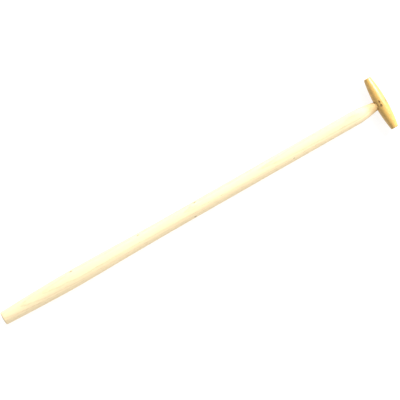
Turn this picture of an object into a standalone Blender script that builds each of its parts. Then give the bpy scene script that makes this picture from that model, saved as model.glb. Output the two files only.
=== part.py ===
"""A T-grip tool handle: a turned ash shaft whose round tenon passes through a turned beech crossbar.

A wedge spreads the tenon and two wire nails lock it. Units are metres. The shaft lies along +X with the
centre of its socket end at the origin, the crossbar runs along Y, and +Z is up as the handle lies down.
"""

import math

import bmesh
import bpy

# Driving dimensions
TOTAL_LENGTH = 0.920
SHAFT_RADIUS = 0.019
SOCKET_END_RADIUS = 0.0144
SOCKET_LENGTH = 0.170
NECK_RADIUS = 0.0158
TENON_RADIUS = 0.0092
OGIVE_LENGTH = 0.051
GRIP_LENGTH = 0.118
GRIP_RADIUS = 0.0134
GRIP_END_RADIUS = 0.0078
END_ROUND = 0.0022
GRIP_END_ROUND = 0.0021
GAP = 0.0003

# How the turned profile bends: above 1 makes the socket taper convex, and a high settle ends the swell soon
SOCKET_BULGE = 1.6
SWELL_SETTLE = 9

# Where the shaft meets the grip
GRIP_AXIS_X = TOTAL_LENGTH - GRIP_RADIUS
OGIVE_END_X = GRIP_AXIS_X - GRIP_RADIUS
OGIVE_START_X = OGIVE_END_X - OGIVE_LENGTH

# Wedge and its saw kerf in the tenon
KERF_DEPTH = 0.024
KERF_WIDTH = 0.0020
KERF_REACH = 1.3 * TENON_RADIUS
WEDGE_SLOPE = 0.055
WEDGE_HALF_WIDTH = 0.0087

# Locking nails, driven down through the top of the grip, one on each side of the wedge
NAIL_RADIUS = 0.00125
NAIL_HEAD_RADIUS = 0.0022
NAIL_HEAD_HEIGHT = 0.0012
NAIL_LENGTH = 0.0220
NAIL_POINT = 0.0035
NAIL_TIP_RADIUS = 0.25 * NAIL_RADIUS
NAIL_SINK = 0.0013
NAIL_X = GRIP_AXIS_X - 0.0029
NAIL_PLACES_Y = (-0.0043, 0.0043)
HEAD_UP = (math.pi, 0.0, 0.0)

# Fineness of the turned surfaces
TURNED_SEGMENTS = 56
NAIL_SEGMENTS = 16
ARC_STEPS = 4
WEDGE_STEPS = 10
SOCKET_ROWS = 9
NECK_ROWS = 14
OGIVE_ROWS = 9
GRIP_ROWS = 24
TENON_END_RINGS = (1.0, 0.7, 0.35)
SMOOTH_ANGLE = math.radians(35)

# Finishes: colour, roughness and how metallic
FINISHES = {
    "ash": ((0.78, 0.60, 0.37), 0.55, 0.0),
    "beech": ((0.66, 0.45, 0.20), 0.48, 0.0),
    "wedge_hardwood": ((0.50, 0.30, 0.14), 0.60, 0.0),
    "steel": ((0.30, 0.27, 0.24), 0.50, 1.0),
}


def shaft_radius(x):
    """Radius of the turned shaft at x: socket taper, swell, long neck, then an ogive down to the tenon."""
    if x <= SOCKET_LENGTH:
        share = x / SOCKET_LENGTH
        return SHAFT_RADIUS - (SHAFT_RADIUS - SOCKET_END_RADIUS) * (1.0 - share) ** SOCKET_BULGE
    if x <= OGIVE_START_X:
        share = (x - SOCKET_LENGTH) / (OGIVE_START_X - SOCKET_LENGTH)
        swell = (1.0 - share) ** SWELL_SETTLE * (1.0 + SWELL_SETTLE * share)
        return NECK_RADIUS + (SHAFT_RADIUS - NECK_RADIUS) * swell
    share = (OGIVE_END_X - x) / OGIVE_LENGTH
    return TENON_RADIUS + (NECK_RADIUS - TENON_RADIUS) * math.sin(0.5 * math.pi * share)


def grip_radius(y):
    """Radius of the spindle-shaped grip at a distance y from its middle."""
    share = y / (0.5 * GRIP_LENGTH)
    return GRIP_RADIUS - (GRIP_RADIUS - GRIP_END_RADIUS) * share ** 2


def grip_surface_x(y, z):
    """World x of the grip's outer surface at y along the grip and z across it."""
    return GRIP_AXIS_X + math.sqrt(grip_radius(y) ** 2 - z ** 2)


def spaced(start, end, steps):
    """Evenly spaced values from start to end, both included."""
    return [start + (end - start) * i / steps for i in range(steps + 1)]


def rounded_corner(side_radius, size):
    """(along, radius) points of a quarter round from an end face at 0 to a side of side_radius."""
    points = []
    for angle in spaced(0.0, 0.5 * math.pi, ARC_STEPS):
        points.append((size * (1.0 - math.cos(angle)), side_radius - size * (1.0 - math.sin(angle))))
    return points


def ring(bm, along, radius, segments):
    """One circle of vertices about local Z."""
    turns = [2.0 * math.pi * i / segments for i in range(segments)]
    return [bm.verts.new((radius * math.cos(turn), radius * math.sin(turn), along)) for turn in turns]


def bridge(bm, lower, upper):
    """Side faces between two rings with the same number of vertices, facing outwards."""
    for i in range(len(lower)):
        j = (i + 1) % len(lower)
        bm.faces.new((lower[i], lower[j], upper[j], upper[i]))


def turned_side(bm, profile, segments):
    """A turned surface about local Z, closed at its start only. Gives back its last ring."""
    rings = [ring(bm, along, radius, segments) for along, radius in profile]
    for lower, upper in zip(rings, rings[1:]):
        bridge(bm, lower, upper)
    bm.faces.new(rings[0][::-1])
    return rings[-1]


def turned_body(profile, segments):
    """A closed turned body about local Z from (along, radius) points."""
    bm = bmesh.new()
    bm.faces.new(turned_side(bm, profile, segments))
    return bm


def material(name):
    """The Principled material of one finish."""
    colour, roughness, metallic = FINISHES[name]
    made = bpy.data.materials.new(name)
    made.use_nodes = True
    shader = made.node_tree.nodes["Principled BSDF"]
    shader.inputs["Base Color"].default_value = (*colour, 1.0)
    shader.inputs["Roughness"].default_value = roughness
    shader.inputs["Metallic"].default_value = metallic
    made.diffuse_color = (*colour, 1.0)
    return made


def add_object(name, bm, location=(0, 0, 0), rotation=(0, 0, 0)):
    """Turns a bmesh into a named object, smooth where it is round."""
    mesh = bpy.data.meshes.new(name)
    bm.to_mesh(mesh)
    bm.free()
    mesh.shade_smooth()
    mesh.set_sharp_from_angle(angle=SMOOTH_ANGLE)
    obj = bpy.data.objects.new(name, mesh)
    obj.location = location
    obj.rotation_euler = rotation
    bpy.context.scene.collection.objects.link(obj)
    return obj


def add_cutter(name, bm, location=(0, 0, 0), rotation=(0, 0, 0)):
    """A shape that a Boolean takes away. It isn't part of the object."""
    cutter = add_object(name, bm, location, rotation)
    cutter.hide_render = True
    cutter.display_type = "WIRE"
    return cutter


def cut(obj, cutter):
    """Takes cutter away from obj with the exact solver."""
    boolean = obj.modifiers.new(cutter.name, "BOOLEAN")
    boolean.operation = "DIFFERENCE"
    boolean.object = cutter
    boolean.solver = "EXACT"


def wedge_slip(half_width, clearance, rise):
    """A tapered slip lying along X, thin in Y, whose top stands rise above the grip's surface."""
    tip_x = TOTAL_LENGTH - KERF_DEPTH - clearance
    bm = bmesh.new()
    rows = []
    for z in spaced(-half_width, half_width, WEDGE_STEPS):
        top_x = grip_surface_x(0.0, z) + rise
        tip = 0.5 * KERF_WIDTH - GAP + clearance
        top = tip + WEDGE_SLOPE * (top_x - tip_x)
        corners = ((tip_x, -tip), (tip_x, tip), (top_x, top), (top_x, -top))
        rows.append([bm.verts.new((x, y, z)) for x, y in corners])
    for first, second in zip(rows, rows[1:]):
        for i in range(4):
            j = (i + 1) % 4
            bm.faces.new((first[i], first[j], second[j], second[i]))
    bm.faces.new(rows[0][::-1])
    bm.faces.new(rows[-1])
    bmesh.ops.recalc_face_normals(bm, faces=bm.faces)
    return bm


def nail_profile(clearance):
    """(along, radius) points of a nail from its head to its point, grown by clearance."""
    head_top = NAIL_SINK - GRIP_RADIUS
    tip = head_top + NAIL_LENGTH
    return [
        (head_top, NAIL_HEAD_RADIUS + clearance),
        (head_top + 0.5 * NAIL_HEAD_HEIGHT + clearance, NAIL_HEAD_RADIUS + clearance),
        (head_top + NAIL_HEAD_HEIGHT + clearance, NAIL_RADIUS + clearance),
        (tip - NAIL_POINT, NAIL_RADIUS + clearance),
        (tip + clearance, NAIL_TIP_RADIUS + clearance),
    ]


def add_kerf_cutter():
    """The saw kerf in the tenon, open at its end."""
    return add_cutter("kerf_cutter", wedge_slip(KERF_REACH, GAP, GRIP_RADIUS))


def add_nail_cutters():
    """The holes of the nails, open through the top of the grip."""
    profile = nail_profile(GAP)
    profile[0] = (-2.0 * GRIP_RADIUS, profile[0][1])
    cutters = []
    for number, y in enumerate(NAIL_PLACES_Y, start=1):
        hole = turned_body(profile, NAIL_SEGMENTS)
        cutters.append(add_cutter(f"nail_cutter_{number}", hole, (NAIL_X, y, 0.0), HEAD_UP))
    return cutters


def add_shaft(kerf, nail_holes):
    """The shaft, its tenon trimmed flush with the grip's outer surface."""
    stations = spaced(END_ROUND, SOCKET_LENGTH, SOCKET_ROWS)[1:]
    stations += spaced(SOCKET_LENGTH, OGIVE_START_X, NECK_ROWS)[1:]
    stations += spaced(OGIVE_START_X, OGIVE_END_X, OGIVE_ROWS)[1:]
    profile = rounded_corner(shaft_radius(END_ROUND), END_ROUND)
    profile += [(x, shaft_radius(x)) for x in stations]
    bm = bmesh.new()
    outer = turned_side(bm, profile, TURNED_SEGMENTS)
    for share in TENON_END_RINGS:
        inner = ring(bm, 0.0, TENON_RADIUS * share, TURNED_SEGMENTS)
        for vert in inner:
            vert.co.z = grip_surface_x(vert.co.y, vert.co.x)
        bridge(bm, outer, inner)
        outer = inner
    bm.faces.new(outer)
    shaft = add_object("shaft", bm, rotation=(0.0, 0.5 * math.pi, 0.0))
    for cutter in (kerf, *nail_holes):
        cut(shaft, cutter)
    return shaft


def add_grip(nail_holes):
    """The crossbar grip with its bore for the tenon."""
    half = 0.5 * GRIP_LENGTH
    side = half - GRIP_END_ROUND
    corner = rounded_corner(grip_radius(side), GRIP_END_ROUND)
    profile = [(along - half, radius) for along, radius in corner]
    profile += [(y, grip_radius(y)) for y in spaced(-side, side, GRIP_ROWS)[1:-1]]
    profile += [(half - along, radius) for along, radius in corner[::-1]]
    grip = add_object("grip", turned_body(profile, TURNED_SEGMENTS), (GRIP_AXIS_X, 0.0, 0.0))
    grip.rotation_euler = (-0.5 * math.pi, 0.0, 0.0)
    reach = 2.0 * GRIP_RADIUS
    bore = turned_body([(-reach, TENON_RADIUS + GAP), (reach, TENON_RADIUS + GAP)], TURNED_SEGMENTS)
    bore_cutter = add_cutter("bore_cutter", bore, (GRIP_AXIS_X, 0.0, 0.0), (0.0, 0.5 * math.pi, 0.0))
    for cutter in (bore_cutter, *nail_holes):
        cut(grip, cutter)
    return grip


def add_tenon_wedge():
    """The wedge that spreads the tenon, trimmed flush with the grip's outer surface."""
    return add_object("tenon_wedge", wedge_slip(WEDGE_HALF_WIDTH, 0.0, 0.0))


def add_lock_nail(number, y):
    """One of the wire nails that lock the grip to the tenon."""
    nail = turned_body(nail_profile(0.0), NAIL_SEGMENTS)
    return add_object(f"lock_nail_{number}", nail, (NAIL_X, y, 0.0), HEAD_UP)


def main():
    for old in list(bpy.data.objects):
        bpy.data.objects.remove(old)
    kerf = add_kerf_cutter()
    nail_holes = add_nail_cutters()
    surfaces = {
        add_shaft(kerf, nail_holes): material("ash"),
        add_grip(nail_holes): material("beech"),
        add_tenon_wedge(): material("wedge_hardwood"),
    }
    steel = material("steel")
    for number, y in enumerate(NAIL_PLACES_Y, start=1):
        surfaces[add_lock_nail(number, y)] = steel
    for obj, surface in surfaces.items():
        obj.data.materials.append(surface)


main()
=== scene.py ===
"""Looks of a T-grip tool handle: an ash shaft whose wedged tenon passes through a turned beech crossbar.

Lengths are in metres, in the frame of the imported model: the shaft along +X from its socket end, the crossbar
along Y, +Z up. Every wooden piece is a fine turned mesh with solid wood grain that runs through it.
"""

import math

import bmesh
import bpy
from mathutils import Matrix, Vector


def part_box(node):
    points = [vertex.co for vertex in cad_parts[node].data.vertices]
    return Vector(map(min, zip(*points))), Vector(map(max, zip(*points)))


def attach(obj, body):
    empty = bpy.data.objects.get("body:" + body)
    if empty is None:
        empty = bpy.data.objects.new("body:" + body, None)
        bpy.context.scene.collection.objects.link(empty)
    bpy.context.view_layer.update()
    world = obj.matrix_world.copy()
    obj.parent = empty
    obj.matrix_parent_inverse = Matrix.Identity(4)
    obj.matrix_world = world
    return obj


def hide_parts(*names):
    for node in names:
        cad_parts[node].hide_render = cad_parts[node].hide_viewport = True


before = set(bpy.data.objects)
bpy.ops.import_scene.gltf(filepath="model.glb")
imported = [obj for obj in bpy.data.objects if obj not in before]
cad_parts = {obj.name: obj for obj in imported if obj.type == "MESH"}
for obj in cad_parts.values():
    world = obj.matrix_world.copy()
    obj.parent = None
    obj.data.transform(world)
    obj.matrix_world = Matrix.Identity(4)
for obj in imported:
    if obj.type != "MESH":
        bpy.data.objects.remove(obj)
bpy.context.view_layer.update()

# Sizes read from the frame
shaft_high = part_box("shaft")[1]
grip_low, grip_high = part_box("grip")
NAIL_BOXES = {name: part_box(name) for name in ("lock_nail_1", "lock_nail_2")}
wedge_low, wedge_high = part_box("tenon_wedge")
TOTAL_LENGTH = shaft_high.x
SHAFT_RADIUS = shaft_high.z
GRIP_AXIS_X = 0.5 * (grip_low.x + grip_high.x)
GRIP_RADIUS = TOTAL_LENGTH - GRIP_AXIS_X
GRIP_HALF = grip_high.y

# The turned profiles. The bulge shapes the socket taper, the settle how fast the swell runs into the neck
SOCKET_END_RADIUS = 0.0144
SOCKET_LENGTH = 0.170
SOCKET_BULGE = 1.6
NECK_RADIUS = 0.0158
SWELL_SETTLE = 9
OGIVE_LENGTH = 0.051
OGIVE_END_X = GRIP_AXIS_X - GRIP_RADIUS
OGIVE_START_X = OGIVE_END_X - OGIVE_LENGTH
TENON_RADIUS = 0.00925
BORE_RADIUS = 0.00936
END_ROUND = 0.0022
GRIP_END_RADIUS = 0.0078
GRIP_END_ROUND = 0.0021
MOUTH_ROUND = 0.0005
MOUTH_RADIUS = BORE_RADIUS + MOUTH_ROUND

# Wedge and kerf. The cover hides the kerf's inner end, and the fit is the play round the wedge and nails
KERF_HALF_WIDTH = 0.0007
KERF_REACH = 1.3 * TENON_RADIUS
WEDGE_SLOPE = 0.055
WEDGE_LENGTH = wedge_high.x - wedge_low.x
KERF_COVER = 0.0018
WEDGE_SINK = 0.00005
WEDGE_ROWS = 24
FIT = 0.00006

# Nails: how far under its top each part of a head lies, and the point
NAIL_WIRE_RADIUS = 0.00125
NAIL_CHAMFER = 0.0002
NAIL_HEAD_BOTTOM = 0.0005
NAIL_COLLAR = 0.0008
NAIL_WIRE_TOP = 0.0013
NAIL_POINT = 0.0035
NAIL_TIP = 0.0003

# Edges that turn by more degrees than this stay crisp, on turned pieces and on small ones
SMOOTH_ANGLE = 40
CRISP_ANGLE = 30

# How fine the meshes are
ARC_STEPS = 7
NAIL_COLUMNS = 40
SHAFT_COLUMNS = 96
SOCKET_ROWS = 84
NECK_ROWS = 300
OGIVE_ROWS = 50
TENON_ROWS = 12
FACE_RINGS = (0.25, 0.5, 0.75, 0.95)
TENON_END_RINGS = (1.0, 0.97, 0.8, 0.6, 0.4, 0.2)
GRIP_COLUMNS = 144
PATCH_COLUMNS = 60
PATCH_HALF_LENGTH = 0.0165
PATCH_ROWS = 44
PATCH_RINGS = 9
ARM_ROWS = 56
BORE_ROWS = 8
MOUTH_STEPS = (0.25, 0.5, 0.75, 1.0)
CAP_RINGS = (0.94, 0.75, 0.5, 0.25)

# Pin knots on the shaft: place along it, turn from +Z towards +Y in degrees, and size
PIN_KNOTS = (
    (0.171, 57, 0.0023),
    (0.330, 49, 0.0016),
    (0.466, 56, 0.0024),
    (0.4535, -58, 0.0019),
    (0.692, -38, 0.0011),
    (0.574, 171, 0.0018),
)

# Sanding leaves the wood slightly uneven, except at the shaft's foot and close to the joint
SHAFT_WAVE = 0.00004
SHAFT_RIPPLE = 0.000012
HOLLOW_FADE_FOOT = 0.004
HOLLOW_FADE_TOP = 0.01
GRIP_WAVE = 0.00003
GRIP_FADE_START = 0.014
GRIP_FADE_LENGTH = 0.012

# The tenon's end is sanded flush, and its rim a little lower over its outermost share
TENON_EDGE = 0.00012
TENON_EDGE_SHARE = 0.96

# Small dents from handling: place along the shaft, turn from +Z in degrees, width and depth
DENTS = (
    (0.0120, 24, 0.0024, 0.00018),
    (0.0870, -61, 0.0034, 0.00012),
    (0.2470, 12, 0.0042, 0.00010),
    (0.3980, -128, 0.0050, 0.00016),
    (0.5220, 79, 0.0036, 0.00012),
    (0.6480, -17, 0.0040, 0.00009),
    (0.7730, 148, 0.0046, 0.00015),
)

# Which of x, y and z run along the grain and across it
GRAIN_AXES = {"X": (0, 1, 2), "Y": (1, 0, 2)}

# How often each texture of the wood repeats per metre, along the grain and both ways across it
SLOW_WANDER = (4.5, 9.0, 9.0)
QUICK_WANDER = (17.0, 40.0, 40.0)
FIBRE_SCALES = (9.0, 900.0, 900.0)
STREAK_SCALES = (2.2, 130.0, 130.0)
CLOUD_SCALES = (5.0, 24.0, 24.0)

# How often the rings' unevenness repeats per metre, away from the pith and along the grain
RING_WANDER = (70.0, 2.0, 1.0)

# A knot is drawn out along the grain, where distances count for less. It bends the rings by a share of one
# ring, as far out as a few times its own size
KNOT_STRETCH = 0.42
KNOT_BEND = 0.9
KNOT_BEND_REACH = 4.0

# How deep the bump relief of the wood and the steel goes, and how the wood's film of oil bends light
WOOD_BUMP_HEIGHT = 0.00012
WOOD_IOR = 1.48
STEEL_BUMP_HEIGHT = 0.00006

# Marks, some of them painted shade at the joint: how far each one reaches, and how strong it is at its
# strongest
GLUE_REACH = 0.0009
GLUE_DEPTH = 0.55
TENON_RIM_REACH = 0.0006
TENON_RIM_DEPTH = 0.6
IRON_ACROSS = 0.0026
IRON_ALONG = 0.0058
IRON_DEPTH = 0.6
# Painted shade on the grip round where the shaft goes in, on the shaft's side
GRIP_PAINTED_SHADE_REACH = 0.0035
GRIP_PAINTED_SHADE_DEPTH = 0.22
# Painted shade in the corner on the shaft's side of the joint
SHAFT_PAINTED_SHADE_NEAR = 0.0005
SHAFT_PAINTED_SHADE_REACH = 0.0055
SHAFT_PAINTED_SHADE_DEPTH = 0.70
HANDLED_REACH = 0.0045
HANDLED_DEPTH = 0.12
# The shaft's wood darkens and warms towards the grip, from here on
DARKENING_START_X = OGIVE_START_X + 0.4 * OGIVE_LENGTH
DARKENING_DEPTH = 0.75
SOCKET_RUB_REACH = 0.0040
SOCKET_RUB_DEPTH = 0.18

# Floor and surround. The surround is brightest low down and stops fading at a height of SURROUND_FADE
FLOOR_HALF_SIZE = 60.0
FLOOR_GAP = 0.0001
FLOOR_COLOUR = (0.25, 0.25, 0.25, 1.0)
FLOOR_GLOW_COLOUR = (1.0, 1.0, 0.995, 1.0)
FLOOR_GLOW = 0.85
SURROUND_LOW = 1.0
SURROUND_HIGH = 0.40
SURROUND_FADE = 0.30

# A soft key from beyond the grip, a low rim along the brighter edge and a weak fill from the darker side:
# name, direction from the handle's middle, distance, size, power in watts and colour
LIGHTS = (
    ("key", (0.77, 0.31, 0.545), 12.0, 4.0, 2250.0, (1.0, 0.985, 0.955)),
    ("rim", (0.40, 0.87, 0.30), 8.0, 2.5, 240.0, (0.97, 0.985, 1.0)),
    ("fill", (0.50, -0.70, 0.50), 8.0, 3.0, 175.0, (1.0, 1.0, 1.0)),
)

# The camera looks straight down. Its lens and sensor are in millimetres
CAMERA_PLACE = (0.4786, 0.0118, 4.637)
CAMERA_TURN = math.radians(-29.73)
CAMERA_LENS = 200.0
CAMERA_SENSOR = 36.0


# Profiles

def shaft_radius(x):
    """Radius of the turned shaft at x: socket taper, swell, long neck, then an ogive down to the tenon."""
    if x <= SOCKET_LENGTH:
        share = x / SOCKET_LENGTH
        return SHAFT_RADIUS - (SHAFT_RADIUS - SOCKET_END_RADIUS) * (1.0 - share) ** SOCKET_BULGE
    if x <= OGIVE_START_X:
        share = (x - SOCKET_LENGTH) / (OGIVE_START_X - SOCKET_LENGTH)
        swell = (1.0 - share) ** SWELL_SETTLE * (1.0 + SWELL_SETTLE * share)
        return NECK_RADIUS + (SHAFT_RADIUS - NECK_RADIUS) * swell
    share = max(0.0, (OGIVE_END_X - x) / OGIVE_LENGTH)
    return TENON_RADIUS + (NECK_RADIUS - TENON_RADIUS) * math.sin(0.5 * math.pi * share)


def grip_radius(y):
    """Radius of the spindle-shaped grip at a distance y from its middle."""
    share = y / GRIP_HALF
    return GRIP_RADIUS - (GRIP_RADIUS - GRIP_END_RADIUS) * share ** 2


def grip_outer_x(y, z):
    """x of the grip's outer surface at y along the grip and z across it."""
    return GRIP_AXIS_X + math.sqrt(grip_radius(y) ** 2 - z ** 2)


def spaced(start, end, steps):
    """Evenly spaced values from start to end, both included."""
    return [start + (end - start) * i / steps for i in range(steps + 1)]


def quarter_round(side_radius, size, steps):
    """(along, radius) points of a quarter round from an end face at 0 to a side of side_radius."""
    turns = spaced(0.0, 0.5 * math.pi, steps)
    return [(size * (1.0 - math.cos(t)), side_radius - size * (1.0 - math.sin(t))) for t in turns]


# Meshes

def make_piece(name, points, faces, node, smooth_angle=SMOOTH_ANGLE):
    """A mesh piece that stands for one CAD node and rides on the handle."""
    mesh = bpy.data.meshes.new(name)
    mesh.from_pydata(points, [], faces)
    mesh.validate()
    bm = bmesh.new()
    bm.from_mesh(mesh)
    bmesh.ops.recalc_face_normals(bm, faces=bm.faces)
    bm.to_mesh(mesh)
    bm.free()
    piece = bpy.data.objects.new(name, mesh)
    bpy.context.scene.collection.objects.link(piece)
    if node:
        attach(piece, "root")
        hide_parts(node)
    mesh.shade_smooth()
    mesh.set_sharp_from_angle(angle=math.radians(smooth_angle))
    return piece


def ring_faces(first, second, count):
    """Quads between two closed rings whose first vertices are given."""
    quads = []
    for i in range(count):
        j = (i + 1) % count
        quads.append((first + i, first + j, second + j, second + i))
    return quads


def fan_faces(first, centre, count):
    """Triangles from a closed ring to a centre vertex."""
    return [(first + i, first + (i + 1) % count, centre) for i in range(count)]


def carve(piece, cutter, smooth_angle=SMOOTH_ANGLE):
    """Takes the cutter out of the piece for good, and removes the cutter."""
    boolean = piece.modifiers.new("carve", "BOOLEAN")
    boolean.operation = "DIFFERENCE"
    boolean.object = cutter
    boolean.solver = "EXACT"
    bpy.context.view_layer.update()
    evaluated = piece.evaluated_get(bpy.context.evaluated_depsgraph_get())
    carved = bpy.data.meshes.new_from_object(evaluated)
    piece.modifiers.clear()
    piece.data = carved
    carved.shade_smooth()
    carved.set_sharp_from_angle(angle=math.radians(smooth_angle))
    bpy.data.objects.remove(cutter)


def shaft_hollow(x, turn):
    """How far the shaft's surface lies under its turned profile: sanding waves and a few dents.

    The wave numbers only have to be unlike one another, so that the waves don't repeat.
    """
    wave = 1.0 + math.sin(31.0 * x + 2.0 * turn) * math.cos(13.0 * x - turn)
    fine = 1.0 + math.sin(173.0 * x + 3.0 * turn + math.sin(59.0 * x))
    hollow = SHAFT_WAVE * wave + SHAFT_RIPPLE * fine
    for place, degrees, width, depth in DENTS:
        around = (turn - math.radians(degrees) + math.pi) % (2.0 * math.pi) - math.pi
        distance = math.hypot(x - place, around * SHAFT_RADIUS)
        hollow += depth * math.exp(-((distance / width) ** 2))
    return hollow


def build_shaft():
    """The shaft with its tenon, whose end is trimmed to the grip's round and sawn for the wedge."""
    profile = quarter_round(shaft_radius(END_ROUND), END_ROUND, ARC_STEPS)
    stations = spaced(END_ROUND, SOCKET_LENGTH, SOCKET_ROWS)[1:]
    stations += spaced(SOCKET_LENGTH, OGIVE_START_X, NECK_ROWS)[1:]
    stations += spaced(OGIVE_START_X, OGIVE_END_X, OGIVE_ROWS)[1:]
    stations += spaced(OGIVE_END_X, GRIP_AXIS_X, TENON_ROWS)[1:]
    profile += [(x, shaft_radius(x)) for x in stations]
    face_radius = profile[0][1]
    turns = [2.0 * math.pi * i / SHAFT_COLUMNS for i in range(SHAFT_COLUMNS)]
    points = [(0.0, 0.0, 0.0)]
    first_ring = 1
    for share in FACE_RINGS:
        radius = face_radius * share
        points += [(0.0, radius * math.sin(turn), radius * math.cos(turn)) for turn in turns]
    for x, radius in profile:
        fade = min(1.0, max(0.0, (OGIVE_END_X - x) / HOLLOW_FADE_TOP)) * min(1.0, x / HOLLOW_FADE_FOOT)
        for turn in turns:
            real = radius - fade * shaft_hollow(x, turn)
            points.append((x, real * math.sin(turn), real * math.cos(turn)))
    for share in TENON_END_RINGS:
        for turn in turns:
            y = TENON_RADIUS * share * math.sin(turn)
            z = TENON_RADIUS * share * math.cos(turn)
            edge = TENON_EDGE * max(0.0, (share - TENON_EDGE_SHARE) / (1.0 - TENON_EDGE_SHARE))
            points.append((grip_outer_x(y, z) - edge, y, z))
    rings = (len(points) - 1) // SHAFT_COLUMNS
    points.append((TOTAL_LENGTH, 0.0, 0.0))
    faces = fan_faces(first_ring, 0, SHAFT_COLUMNS)
    for i in range(rings - 1):
        start = first_ring + i * SHAFT_COLUMNS
        faces += ring_faces(start, start + SHAFT_COLUMNS, SHAFT_COLUMNS)
    faces += fan_faces(first_ring + (rings - 1) * SHAFT_COLUMNS, len(points) - 1, SHAFT_COLUMNS)
    shaft = make_piece("shaft_wood", points, faces, "shaft")
    carve(shaft, wedge_slip("kerf_cutter", KERF_REACH, FIT, GRIP_RADIUS))
    for box in NAIL_BOXES.values():
        carve(shaft, nail_body("nail_cutter", box, FIT))
    return shaft


def wedge_slip(name, half_width, clearance, rise, node=None):
    """The wedge's tapered slip, thin in Y, whose top stands rise above the grip's surface.

    Its tip stays KERF_COVER inside the grip's surface on the shaft's side, so that no end of the kerf shows.
    """
    tip_x = TOTAL_LENGTH - WEDGE_LENGTH - clearance
    points = []
    for z in spaced(-half_width, half_width, WEDGE_ROWS):
        top_x = grip_outer_x(0.0, z) + rise
        start_x = max(tip_x, 2.0 * GRIP_AXIS_X - grip_outer_x(0.0, z) + KERF_COVER - clearance)
        for share in (0.0, 0.5, 1.0):
            x = start_x + (top_x - start_x) * share
            half = KERF_HALF_WIDTH + clearance + WEDGE_SLOPE * (x - tip_x)
            points += [(x, -half, z), (x, half, z)]
    faces = []
    outline = (0, 2, 4, 5, 3, 1)
    count = len(outline)
    for row in range(WEDGE_ROWS):
        start = count * row
        for a, b in zip(outline, outline[1:] + outline[:1]):
            faces.append((start + a, start + b, start + count + b, start + count + a))
    faces.append(outline[::-1])
    faces.append(tuple(count * WEDGE_ROWS + i for i in outline))
    return make_piece(name, points, faces, node, smooth_angle=CRISP_ANGLE)


def build_wedge():
    """The wedge in the tenon, its end grain sanded flush."""
    return wedge_slip("wedge_wood", wedge_high.z, 0.0, -WEDGE_SINK, "tenon_wedge")


def nail_body(name, box, clearance, node=None):
    """An upright wire nail, head up, grown by clearance. A cutter's head runs on out of the wood."""
    low, high = box
    head_radius = 0.5 * (high.x - low.x)
    x = 0.5 * (low.x + high.x)
    y = 0.5 * (low.y + high.y)
    wire = NAIL_WIRE_RADIUS + clearance
    over = 2.0 * GRIP_RADIUS if clearance else 0.0
    profile = [
        (high.z + over, 0.5 * head_radius),
        (high.z + over - 0.4 * NAIL_CHAMFER, 0.9 * head_radius + clearance),
        (high.z - NAIL_CHAMFER, head_radius + clearance),
        (high.z - NAIL_HEAD_BOTTOM, head_radius + clearance),
        (high.z - NAIL_COLLAR, 1.2 * wire),
        (high.z - NAIL_WIRE_TOP, wire),
        (low.z + NAIL_POINT, wire),
        (low.z + NAIL_TIP - clearance, 0.15 * wire),
    ]
    points = []
    for z, radius in profile:
        for i in range(NAIL_COLUMNS):
            turn = 2.0 * math.pi * i / NAIL_COLUMNS
            points.append((x + radius * math.cos(turn), y + radius * math.sin(turn), z))
    points += [(x, y, profile[0][0]), (x, y, low.z - clearance)]
    faces = fan_faces(0, len(points) - 2, NAIL_COLUMNS)
    for i in range(len(profile) - 1):
        faces += ring_faces(i * NAIL_COLUMNS, (i + 1) * NAIL_COLUMNS, NAIL_COLUMNS)
    faces += fan_faces((len(profile) - 1) * NAIL_COLUMNS, len(points) - 1, NAIL_COLUMNS)
    return make_piece(name, points, faces, node, smooth_angle=CRISP_ANGLE)


def build_nails():
    """The nails that lock the grip."""
    nails = []
    for number, (node, box) in enumerate(NAIL_BOXES.items(), start=1):
        nails.append(nail_body(f"nail_wire_{number}", box, 0.0, node))
    return nails


def on_grip(y, turn):
    """The point of the grip's surface at y along it and at a turn from +X towards +Z."""
    radius = grip_radius(y) - grip_hollow(y, turn)
    return (GRIP_AXIS_X + radius * math.cos(turn), y, radius * math.sin(turn))


def grip_hollow(y, turn):
    """How far the grip's surface lies under its turned profile: sanding leaves it slightly uneven."""
    fade = min(1.0, max(0.0, (abs(y) - GRIP_FADE_START) / GRIP_FADE_LENGTH))
    return fade * GRIP_WAVE * (1.0 + math.sin(90.0 * y + 2.0 * turn) * math.cos(140.0 * y - turn))


def mouth_turn(y, z):
    """The turn about the grip's axis at which its surface holds the point y, z on the outer side."""
    return math.asin(z / grip_radius(y))


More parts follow.
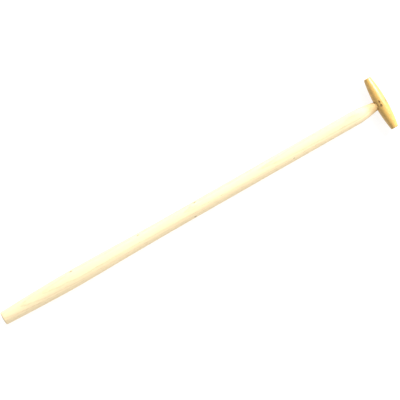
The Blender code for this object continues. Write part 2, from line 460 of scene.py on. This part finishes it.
class GripMesh:
    """Collects the grip's vertices and faces: a turned grid with two bore mouths let into it."""

    def __init__(self, rows):
        self.rows = rows
        self.points = []
        self.faces = []
        self.grid = {}

    def add(self, point):
        """Adds a vertex and gives back its number."""
        self.points.append(point)
        return len(self.points) - 1

    def grid_vertex(self, row, column):
        """The turned grid's vertex, made when it is first needed."""
        key = (row, column % GRIP_COLUMNS)
        if key not in self.grid:
            self.grid[key] = self.add(on_grip(self.rows[row], 2.0 * math.pi * key[1] / GRIP_COLUMNS))
        return self.grid[key]

    def strip(self, first, second):
        """Quads between two closed loops of vertex numbers."""
        count = len(first)
        for i in range(count):
            j = (i + 1) % count
            self.faces.append((first[i], first[j], second[j], second[i]))

    def turned_grid(self, patch_rows):
        """The turned surface without the two rectangles that hold the bore's mouths."""
        low, high = patch_rows
        half = PATCH_COLUMNS // 2
        for row in range(len(self.rows) - 1):
            for column in range(GRIP_COLUMNS):
                outer = column < half or column >= GRIP_COLUMNS - half
                inner = abs(column + 0.5 - GRIP_COLUMNS / 2) < half
                if low <= row < high and (outer or inner):
                    continue
                corners = ((row, column), (row, column + 1), (row + 1, column + 1), (row + 1, column))
                self.faces.append(tuple(self.grid_vertex(r, c) for r, c in corners))

    def patch_edge(self, patch_rows, middle):
        """The (row, column) pairs round one rectangle, in order."""
        low, high = patch_rows
        half = PATCH_COLUMNS // 2
        edge = [(low, middle + c) for c in range(-half, half)]
        edge += [(r, middle + half) for r in range(low, high)]
        edge += [(high, middle + c) for c in range(half, -half, -1)]
        edge += [(r, middle - half) for r in range(high, low, -1)]
        return edge

    def mouth(self, patch_rows, side):
        """Fills one rectangle with a bore mouth and gives back the bore's rim.

        side is 1 on the outer side and -1 on the shaft's.
        """
        middle = 0 if side > 0 else GRIP_COLUMNS // 2
        edge = self.patch_edge(patch_rows, middle)
        top_turn = mouth_turn(0.0, MOUTH_RADIUS)
        around = []
        for row, column in edge:
            turn = side * 2.0 * math.pi * (column - middle) / GRIP_COLUMNS
            around.append(math.atan2(turn / top_turn, self.rows[row] / MOUTH_RADIUS))
        loops = []
        for ring in range(PATCH_RINGS):
            share = ring / PATCH_RINGS
            loop = []
            for (row, column), angle in zip(edge, around):
                y = MOUTH_RADIUS * math.cos(angle)
                turn = mouth_turn(y, MOUTH_RADIUS * math.sin(angle))
                edge_turn = side * 2.0 * math.pi * (column - middle) / GRIP_COLUMNS
                y += (self.rows[row] - y) * share
                turn += (edge_turn - turn) * share
                loop.append(self.add(self.mouth_point(y, turn, side)))
            loops.append(loop)
        outline = [self.grid_vertex(row, column) for row, column in edge]
        loops.append(outline)
        rim = loops[0]
        for step in MOUTH_STEPS:
            inner = [self.add(self.fillet_point(angle, step, side)) for angle in around]
            self.strip(inner, rim)
            rim = inner
        for first, second in zip(loops, loops[1:]):
            self.strip(first, second)
        return rim

    def mouth_point(self, y, turn, side):
        """A point of the grip's surface near a mouth, mirrored to the shaft's side when side is -1."""
        x, y, z = on_grip(y, turn)
        return (GRIP_AXIS_X + side * (x - GRIP_AXIS_X), y, z)

    def fillet_point(self, angle, step, side):
        """A point of the mouth's rounded rim, from the surface at step 0 to the bore's wall at step 1."""
        def surface(reach):
            y, z = reach * math.cos(angle), reach * math.sin(angle)
            return Vector((side * (grip_outer_x(y, z) - GRIP_AXIS_X), y, z))

        start = surface(MOUTH_RADIUS)
        corner = surface(BORE_RADIUS)
        end = corner - Vector((side * MOUTH_ROUND, 0.0, 0.0))
        point = start * (1 - step) ** 2 + corner * 2 * step * (1 - step) + end * step ** 2
        return (GRIP_AXIS_X + point.x, point.y, point.z)

    def end_cap(self, row, outward):
        """The rounded edge and flat face that close one end."""
        side = abs(self.rows[row])
        loop = [self.grid_vertex(row, column) for column in range(GRIP_COLUMNS)]
        rounding = quarter_round(grip_radius(side), GRIP_END_ROUND, ARC_STEPS)[::-1][1:]
        rings = [(GRIP_HALF - along, radius) for along, radius in rounding]
        flat = rings[-1][1]
        rings += [(GRIP_HALF, flat * share) for share in CAP_RINGS]
        for along, radius in rings:
            inner = []
            for column in range(GRIP_COLUMNS):
                turn = 2.0 * math.pi * column / GRIP_COLUMNS
                place = (GRIP_AXIS_X + radius * math.cos(turn), outward * along, radius * math.sin(turn))
                inner.append(self.add(place))
            self.strip(loop, inner)
            loop = inner
        centre = self.add((GRIP_AXIS_X, outward * GRIP_HALF, 0.0))
        for i in range(GRIP_COLUMNS):
            self.faces.append((loop[i], loop[(i + 1) % GRIP_COLUMNS], centre))


def build_grip():
    """The crossbar: a spindle with rounded ends, a bore with softened mouths and the nails' holes."""
    side = GRIP_HALF - GRIP_END_ROUND
    rows = spaced(-side, -PATCH_HALF_LENGTH, ARM_ROWS)
    rows += spaced(-PATCH_HALF_LENGTH, PATCH_HALF_LENGTH, PATCH_ROWS)[1:]
    rows += spaced(PATCH_HALF_LENGTH, side, ARM_ROWS)[1:]
    patch_rows = (ARM_ROWS, ARM_ROWS + PATCH_ROWS)
    made = GripMesh(rows)
    made.turned_grid(patch_rows)
    made.end_cap(0, -1)
    made.end_cap(len(rows) - 1, 1)
    outer_rim = made.mouth(patch_rows, 1)
    inner_rim = made.mouth(patch_rows, -1)
    loop = outer_rim
    for step in range(1, BORE_ROWS):
        share = step / BORE_ROWS
        ring = []
        for a, b in zip(outer_rim, inner_rim):
            start, end = Vector(made.points[a]), Vector(made.points[b])
            ring.append(made.add(tuple(start.lerp(end, share))))
        made.strip(loop, ring)
        loop = ring
    made.strip(loop, inner_rim)
    grip = make_piece("grip_wood", made.points, made.faces, "grip")
    for box in NAIL_BOXES.values():
        carve(grip, nail_body("nail_cutter", box, FIT))
    return grip


# Materials

class Graph:
    """Short calls that add shader nodes to one material."""

    def __init__(self, name):
        self.material = bpy.data.materials.new(name)
        self.material.use_nodes = True
        self.tree = self.material.node_tree
        self.shader = self.tree.nodes["Principled BSDF"]

    def node(self, kind, inputs=(), **settings):
        """A node with its settings, its inputs given as (socket, value or link) pairs."""
        made = self.tree.nodes.new(kind)
        for key, value in settings.items():
            setattr(made, key, value)
        for socket, value in inputs:
            self.feed(made.inputs[socket], value)
        return made

    def feed(self, socket, value):
        """Links a socket or sets its plain value."""
        if isinstance(value, bpy.types.NodeSocket):
            self.tree.links.new(value, socket)
        else:
            socket.default_value = value

    def math(self, operation, a, b=0.0):
        """One sum of two numbers."""
        return self.node("ShaderNodeMath", ((0, a), (1, b)), operation=operation).outputs[0]

    def add(self, *values):
        """All the values added up."""
        total = values[0]
        for value in values[1:]:
            total = self.math("ADD", total, value)
        return total

    def times(self, *values):
        """All the values multiplied."""
        total = values[0]
        for value in values[1:]:
            total = self.math("MULTIPLY", total, value)
        return total

    def less(self, a, b):
        """a less b."""
        return self.math("SUBTRACT", a, b)

    def length(self, *parts):
        """The length of a vector, from its parts."""
        return self.math("SQRT", self.add(*[self.times(part, part) for part in parts]))

    def parts_of(self, vector):
        """The x, y and z of a vector."""
        return self.node("ShaderNodeSeparateXYZ", ((0, vector),)).outputs

    def stretched(self, along, a, b, scales):
        """A vector from three numbers, each times its scale, so that a texture can differ each way."""
        parts = [self.times(value, scale) for value, scale in zip((along, a, b), scales)]
        return self.node("ShaderNodeCombineXYZ", enumerate(parts)).outputs[0]

    def noise(self, vector, detail=2.0, roughness=0.5):
        """Noise from 0 to 1 with a mean of one half."""
        inputs = (("Vector", vector), ("Scale", 1.0), ("Detail", detail), ("Roughness", roughness))
        return self.node("ShaderNodeTexNoise", inputs, noise_dimensions="3D").outputs[0]

    def swing(self, vector, amount, detail=2.0, roughness=0.5):
        """Noise that swings about zero, by about amount each way."""
        return self.times(self.less(self.noise(vector, detail, roughness), 0.5), 2.0 * amount)

    def smooth(self, value, low, high):
        """0 below low, 1 above high, and smooth between. low may be the larger one."""
        flip = low > high
        inputs = (("Value", value), ("From Min", min(low, high)), ("From Max", max(low, high)))
        made = self.node("ShaderNodeMapRange", inputs, interpolation_type="SMOOTHSTEP", clamp=True)
        result = made.outputs[0]
        return self.less(1.0, result) if flip else result

    def mix(self, factor, a, b, blend="MIX"):
        """Mixes two colours."""
        made = self.node("ShaderNodeMix", data_type="RGBA", blend_type=blend, clamp_factor=True)
        self.feed(made.inputs[0], factor)
        for socket, value in ((made.inputs[6], a), (made.inputs[7], b)):
            self.feed(socket, (*value, 1.0) if isinstance(value, tuple) else value)
        return made.outputs[2]

    def bump(self, height, strength, distance):
        """The normal of a surface that height raises, by up to distance."""
        inputs = (("Strength", strength), ("Distance", distance), ("Height", height))
        return self.node("ShaderNodeBump", inputs).outputs[0]

    def scale_colour(self, colour, factor):
        """A colour times a number."""
        grey = self.node("ShaderNodeCombineColor", ((0, factor), (1, factor), (2, factor))).outputs[0]
        return self.mix(1.0, colour, grey, "MULTIPLY")


def from_pith(g, look, along, a, b):
    """How far a point lies from the pith, both ways across the grain and in all.

    The grain leans off the piece's axis and wanders a little.
    """
    pith_a, pith_b = look["pith"]
    lean_a, lean_b = look["lean"]
    wander = look["wander"]
    quick = g.stretched(along, a, b, QUICK_WANDER)
    slow = g.stretched(along, a, b, SLOW_WANDER)
    ring_a = g.add(a, g.add(g.swing(slow, wander), g.times(along, lean_a), -pith_a))
    ring_b = g.add(b, g.add(g.swing(quick, 0.25 * wander), g.times(along, lean_b), -pith_b))
    radius = g.add(g.length(ring_a, ring_b), g.swing(quick, 0.12 * wander, 3.0))
    return ring_a, ring_b, radius


def with_knots(g, look, along, a, b, radius):
    """Bends the rings round each pin knot. Gives back the new radius and how dark with knot a point is."""
    knot = 0.0
    for place, turn, size in look["knots"]:
        surface = shaft_radius(place)
        far_a = g.less(a, surface * math.sin(turn))
        far_b = g.less(b, surface * math.cos(turn))
        distance = g.length(far_a, far_b, g.times(g.less(along, place), KNOT_STRETCH))
        bend = g.smooth(distance, KNOT_BEND_REACH * size, 0.0)
        radius = g.add(radius, g.times(bend, KNOT_BEND * look["ring"]))
        knot = g.math("MAXIMUM", knot, g.smooth(distance, size, 0.45 * size))
    return radius, knot


def wood(name, look):
    """Solid wood: growth rings round a far pith, pores, rays and fibres, all carried through the piece."""
    g = Graph(name)
    split = g.parts_of(g.node("ShaderNodeTexCoord").outputs["Object"])
    normal = g.parts_of(g.node("ShaderNodeNewGeometry").outputs["True Normal"])
    along_axis, a_axis, b_axis = GRAIN_AXES[look["grain"]]
    centre_a, centre_b = look["centre"]
    along = split[along_axis]
    a = g.less(split[a_axis], centre_a)
    b = g.less(split[b_axis], centre_b)
    ring_a, ring_b, radius = from_pith(g, look, along, a, b)
    radius, knot = with_knots(g, look, along, a, b, radius)

    # Growth rings: a sharp start, an early band that fades into the late wood
    uneven = g.swing(g.stretched(radius, along, 0.0, RING_WANDER), 0.5)
    rings = g.add(g.times(radius, 1.0 / look["ring"]), uneven)
    phase = g.math("FRACT", rings)
    ring_number = (("W", g.math("FLOOR", rings)),)
    year = g.node("ShaderNodeTexWhiteNoise", ring_number, noise_dimensions="1D").outputs[0]
    early = g.times(g.smooth(phase, look["early"], 0.0), g.smooth(phase, 0.0, 0.05))
    late = g.smooth(phase, 0.45, 1.0)

    # Fibres, pores and rays
    fibre = g.swing(g.stretched(along, a, b, FIBRE_SCALES), 1.0, 4.0, 0.6)
    streak = g.swing(g.stretched(along, a, b, STREAK_SCALES), 1.0, 3.0, 0.55)
    cloud = g.swing(g.stretched(along, a, b, CLOUD_SCALES), 1.0, 2.0)
    pore_noise = g.noise(g.stretched(along, a, b, look["pore_scales"]), 1.5, 0.5)
    pore = g.smooth(pore_noise, look["pore_cut"], look["pore_cut"] + 0.10)
    pore = g.times(pore, g.add(look["late_pores"], g.times(early, 1.0 - look["late_pores"])))
    angle = g.times(g.math("ARCTAN2", ring_b, ring_a), math.hypot(*look["pith"]))
    ray_noise = g.noise(g.stretched(along, radius, angle, look["ray_scales"]), 1.0, 0.4)
    ray = g.smooth(ray_noise, look["ray_cut"], look["ray_cut"] + 0.08)

    # End grain shows where the surface faces along the fibres
    end = g.smooth(g.math("ABSOLUTE", normal[along_axis]), 0.55, 0.92)

    colour = g.mix(g.times(early, look["ring_depth"]), look["late_colour"], look["early_colour"])
    colour = g.mix(g.times(late, 0.5 * look["ring_depth"]), colour, look["dense_colour"])
    tone = g.add(1.0, g.times(g.less(year, 0.5), look["year_depth"]))
    tone = g.add(tone, g.times(fibre, look["fibre_depth"]), g.times(streak, look["streak_depth"]))
    tone = g.add(tone, g.times(cloud, look["cloud_depth"]))
    colour = g.scale_colour(colour, tone)
    colour = g.mix(g.times(pore, look["pore_depth"]), colour, look["pore_colour"])
    colour = g.mix(g.times(ray, look["ray_depth"]), colour, look["ray_colour"])
    colour = g.mix(g.times(end, look["end_depth"]), colour, look["end_colour"])
    colour = g.mix(g.times(knot, look["knot_depth"]), colour, look["knot_colour"])
    # Each mark pulls the colour towards the stain colour: stains and wear, and painted shade where shaft and
    # grip meet
    for mark in look["stains_and_shade"]:
        colour = g.mix(mark(g, split), colour, look["stain_and_shade_colour"])

    rough = g.add(look["roughness"], g.times(pore, 0.15), g.times(end, 0.12), g.times(fibre, 0.05))
    rough = g.add(rough, g.times(cloud, 0.04), g.times(ray, -0.08))
    height = g.add(g.times(fibre, 0.25), g.times(pore, -0.8), g.times(early, -0.25), g.times(streak, 0.12))
    g.feed(g.shader.inputs["Base Color"], colour)
    g.feed(g.shader.inputs["Roughness"], rough)
    g.feed(g.shader.inputs["Normal"], g.bump(height, look["bump"], WOOD_BUMP_HEIGHT))
    g.shader.inputs["IOR"].default_value = WOOD_IOR
    g.shader.inputs["Specular IOR Level"].default_value = look["specular"]
    return g.material


def distance_from_shaft_axis(g, split):
    """How far a point is from the shaft's axis."""
    return g.length(split[1], split[2])


def glue_line(g, split):
    """A thin dark line round the bore's mouths and down its wall."""
    near = g.smooth(distance_from_shaft_axis(g, split), BORE_RADIUS + GLUE_REACH, BORE_RADIUS)
    return g.times(near, GLUE_DEPTH)


def rim_of_tenon(g, split):
    """Glue darkens the tenon's rim where it meets the bore."""
    edge = g.smooth(distance_from_shaft_axis(g, split), TENON_RADIUS - TENON_RIM_REACH, TENON_RADIUS)
    return g.times(edge, g.smooth(split[0], OGIVE_END_X + 0.0006, OGIVE_END_X + 0.0020), TENON_RIM_DEPTH)


def iron_stain(g, split):
    """Round each nail the wood is dark, most along the grip's grain and only on the side of the heads."""
    mark = 0.0
    for low, high in NAIL_BOXES.values():
        off_x = g.times(g.less(split[0], 0.5 * (low.x + high.x)), 1.0 / IRON_ACROSS)
        off_y = g.times(g.less(split[1], 0.5 * (low.y + high.y)), 1.0 / IRON_ALONG)
        mark = g.math("MAXIMUM", mark, g.smooth(g.length(off_x, off_y), 1.0, 0.45))
    return g.times(mark, g.smooth(split[2], 0.0, 0.004), IRON_DEPTH)


def painted_shade_on_grip(g, split):
    """Painted shade on the grip round the place where the shaft goes in, on the shaft's side, where the corner
    lies in shade.
    """
    near = g.smooth(distance_from_shaft_axis(g, split), TENON_RADIUS + GRIP_PAINTED_SHADE_REACH, TENON_RADIUS)
    return g.times(near, g.smooth(split[0], GRIP_AXIS_X, GRIP_AXIS_X - 0.004), GRIP_PAINTED_SHADE_DEPTH)


def painted_shade_on_shaft(g, split):
    """Painted shade on the last few millimetres of the shaft before the grip, in the corner the grip shades.
    """
    far = g.length(g.less(split[0], GRIP_AXIS_X), split[2])
    near = g.smooth(far, GRIP_RADIUS + SHAFT_PAINTED_SHADE_REACH, GRIP_RADIUS + SHAFT_PAINTED_SHADE_NEAR)
    return g.times(near, g.smooth(split[0], GRIP_AXIS_X, GRIP_AXIS_X - 0.002), SHAFT_PAINTED_SHADE_DEPTH)


def handled_ends(g, split):
    """The grip's end edges are a touch darker from being handled."""
    edge = g.smooth(g.math("ABSOLUTE", split[1]), GRIP_HALF - HANDLED_REACH, GRIP_HALF - 0.0008)
    return g.times(edge, HANDLED_DEPTH)


def darkening_towards_grip(g, split):
    """The wood next to the grip is darker and warmer, more so nearer the grip."""
    return g.times(g.smooth(split[0], DARKENING_START_X, OGIVE_END_X), DARKENING_DEPTH)


def socket_rub(g, split):
    """The socket end's edge is a touch grey from being stood on the floor."""
    return g.times(g.smooth(split[0], SOCKET_RUB_REACH, 0.0), SOCKET_RUB_DEPTH)


# The woods. The pith lies off the piece's centre line, and the grain leans and wanders from it. A ring is one
# year's growth, early the share of it that is early wood, a cut the noise above which a pore or ray shows, and
# a depth how strongly something shows.

ASH = {
    "grain": "X", "centre": (0.0, 0.0),
    "pith": (-0.021, -0.058), "lean": (0.006, 0.017), "wander": 0.0030,
    "ring": 0.0034, "early": 0.42, "ring_depth": 0.44, "year_depth": 0.08,
    "late_colour": (0.88, 0.73, 0.465), "early_colour": (0.76, 0.57, 0.325),
    "dense_colour": (0.84, 0.675, 0.405),
    "fibre_depth": 0.10, "streak_depth": 0.10, "cloud_depth": 0.05,
    "pore_scales": (70.0, 1900.0, 1900.0), "pore_cut": 0.56, "late_pores": 0.12,
    "pore_depth": 0.55, "pore_colour": (0.40, 0.25, 0.11),
    "ray_scales": (420.0, 60.0, 2800.0), "ray_cut": 0.66,
    "ray_depth": 0.12, "ray_colour": (0.84, 0.68, 0.44),
    "end_depth": 0.45, "end_colour": (0.55, 0.38, 0.19),
    "knots": [(x, math.radians(turn), size) for x, turn, size in PIN_KNOTS],
    "knot_depth": 0.85, "knot_colour": (0.24, 0.17, 0.10),
    # The shaft's last mark is painted shade in the corner where it meets the grip
    "stains_and_shade": (rim_of_tenon, socket_rub, darkening_towards_grip, painted_shade_on_shaft),
    "stain_and_shade_colour": (0.46, 0.27, 0.08),
    "roughness": 0.50, "specular": 0.4, "bump": 0.7,
}

BEECH = {
    "grain": "Y", "centre": (GRIP_AXIS_X, 0.0),
    "pith": (-0.030, -0.052), "lean": (0.030, 0.045), "wander": 0.0016,
    "ring": 0.0027, "early": 0.70, "ring_depth": 0.45, "year_depth": 0.08,
    "late_colour": (0.70, 0.43, 0.105), "early_colour": (0.76, 0.485, 0.14),
    "dense_colour": (0.61, 0.36, 0.08),
    "fibre_depth": 0.09, "streak_depth": 0.09, "cloud_depth": 0.06,
    "pore_scales": (160.0, 3800.0, 3800.0), "pore_cut": 0.60, "late_pores": 0.5,
    "pore_depth": 0.25, "pore_colour": (0.36, 0.19, 0.07),
    "ray_scales": (560.0, 210.0, 2600.0), "ray_cut": 0.62,
    "ray_depth": 0.42, "ray_colour": (0.40, 0.205, 0.075),
    "end_depth": 0.45, "end_colour": (0.42, 0.235, 0.095),
    "knots": (), "knot_depth": 0.0, "knot_colour": (0.3, 0.2, 0.1),
    # The third mark on the beech is painted shade round the shaft's entry
    "stains_and_shade": (glue_line, iron_stain, painted_shade_on_grip, handled_ends), "stain_and_shade_colour": (0.20, 0.11, 0.045),
    "roughness": 0.42, "specular": 1.0, "bump": 0.5,
}

WEDGE = {
    **ASH,
    "pith": (0.030, 0.012), "ring": 0.0012, "ring_depth": 0.9, "wander": 0.0004, "knots": (),
    "late_colour": (0.50, 0.30, 0.14), "early_colour": (0.36, 0.20, 0.085),
    "dense_colour": (0.44, 0.26, 0.12),
    "end_colour": (0.33, 0.19, 0.085), "stains_and_shade": (), "roughness": 0.6,
}


def steel():
    """Old wire nails: dull grey steel, rusted brown nearly all over."""
    g = Graph("steel")
    split = g.parts_of(g.node("ShaderNodeTexCoord").outputs["Object"])
    scratch = g.noise(g.stretched(split[0], split[1], split[2], (2600.0, 500.0, 500.0)), 4.0, 0.6)
    patch = g.noise(g.stretched(split[0], split[1], split[2], (1100.0, 1100.0, 1100.0)), 3.0, 0.6)
    rust = g.smooth(patch, 0.28, 0.50)
    g.feed(g.shader.inputs["Base Color"], g.mix(rust, (0.40, 0.35, 0.28), (0.36, 0.19, 0.05)))
    g.feed(g.shader.inputs["Roughness"], g.add(0.38, g.times(scratch, 0.22), g.times(rust, 0.3)))
    g.feed(g.shader.inputs["Metallic"], g.less(1.0, g.times(rust, 0.95)))
    height = g.add(scratch, g.times(rust, 0.6))
    g.feed(g.shader.inputs["Normal"], g.bump(height, 0.5, STEEL_BUMP_HEIGHT))
    return g.material


def light_table(name):
    """A pale floor that glows a little, as a light table does, so that shadows on it stay faint."""
    g = Graph(name)
    g.shader.inputs["Base Color"].default_value = FLOOR_COLOUR
    g.shader.inputs["Roughness"].default_value = 0.9
    g.shader.inputs["Specular IOR Level"].default_value = 0.0
    g.shader.inputs["Emission Color"].default_value = FLOOR_GLOW_COLOUR
    g.shader.inputs["Emission Strength"].default_value = FLOOR_GLOW
    return g.material


# Stage, lights and camera

def add_floor():
    """A pale floor that the shaft's swell and neck both rest on."""
    run = OGIVE_START_X - SOCKET_LENGTH
    slope = math.atan2(SHAFT_RADIUS - NECK_RADIUS, run)
    half = FLOOR_HALF_SIZE
    mesh = bpy.data.meshes.new("floor")
    corners = [(-half, -half, 0.0), (half, -half, 0.0), (half, half, 0.0), (-half, half, 0.0)]
    mesh.from_pydata(corners, [], [(0, 1, 2, 3)])
    mesh.materials.append(light_table("light_table"))
    floor = bpy.data.objects.new("floor", mesh)
    floor.location = (SOCKET_LENGTH, 0.0, -SHAFT_RADIUS - FLOOR_GAP)
    floor.rotation_euler = (0.0, -slope, 0.0)
    bpy.context.scene.collection.objects.link(floor)


def add_softbox(name, direction, distance, size, power, colour):
    """A square area light that faces the handle's middle."""
    lamp = bpy.data.lights.new(name, "AREA")
    lamp.shape = "SQUARE"
    lamp.size = size
    lamp.energy = power
    lamp.color = colour
    box = bpy.data.objects.new(name, lamp)
    away = Vector(direction).normalized()
    box.location = Vector((0.5 * TOTAL_LENGTH, 0.0, 0.0)) + away * distance
    box.rotation_euler = away.to_track_quat("Z", "Y").to_euler()
    bpy.context.scene.collection.objects.link(box)


def add_surround():
    """A pale surround, brightest low down, so that it meets the floor's far edge without a line."""
    world = bpy.data.worlds.new("surround")
    world.use_nodes = True
    tree = world.node_tree
    place = tree.nodes.new("ShaderNodeTexCoord")
    split = tree.nodes.new("ShaderNodeSeparateXYZ")
    ramp = tree.nodes.new("ShaderNodeMapRange")
    ramp.interpolation_type = "SMOOTHSTEP"
    ramp.inputs["From Max"].default_value = SURROUND_FADE
    ramp.inputs["To Min"].default_value = SURROUND_LOW
    ramp.inputs["To Max"].default_value = SURROUND_HIGH
    tree.links.new(place.outputs["Generated"], split.inputs[0])
    tree.links.new(split.outputs["Z"], ramp.inputs["Value"])
    tree.nodes["Background"].inputs["Color"].default_value = (1.0, 1.0, 1.0, 1.0)
    tree.links.new(ramp.outputs["Result"], tree.nodes["Background"].inputs["Strength"])
    bpy.context.scene.world = world


def add_camera():
    """A long lens over the handle, turned so that the shaft climbs to the right."""
    lens = bpy.data.cameras.new("camera")
    lens.sensor_width = CAMERA_SENSOR
    lens.lens = CAMERA_LENS
    camera = bpy.data.objects.new("camera", lens)
    camera.location = CAMERA_PLACE
    camera.rotation_euler = (0.0, 0.0, CAMERA_TURN)
    bpy.context.scene.collection.objects.link(camera)
    bpy.context.scene.camera = camera
    bpy.context.scene.view_settings.view_transform = "Standard"


build_shaft().data.materials.append(wood("ash", ASH))
build_grip().data.materials.append(wood("beech", BEECH))
build_wedge().data.materials.append(wood("wedge_hardwood", WEDGE))
NAIL_STEEL = steel()
for nail in build_nails():
    nail.data.materials.append(NAIL_STEEL)
add_floor()
for light in LIGHTS:
    add_softbox(*light)
add_surround()
add_camera()
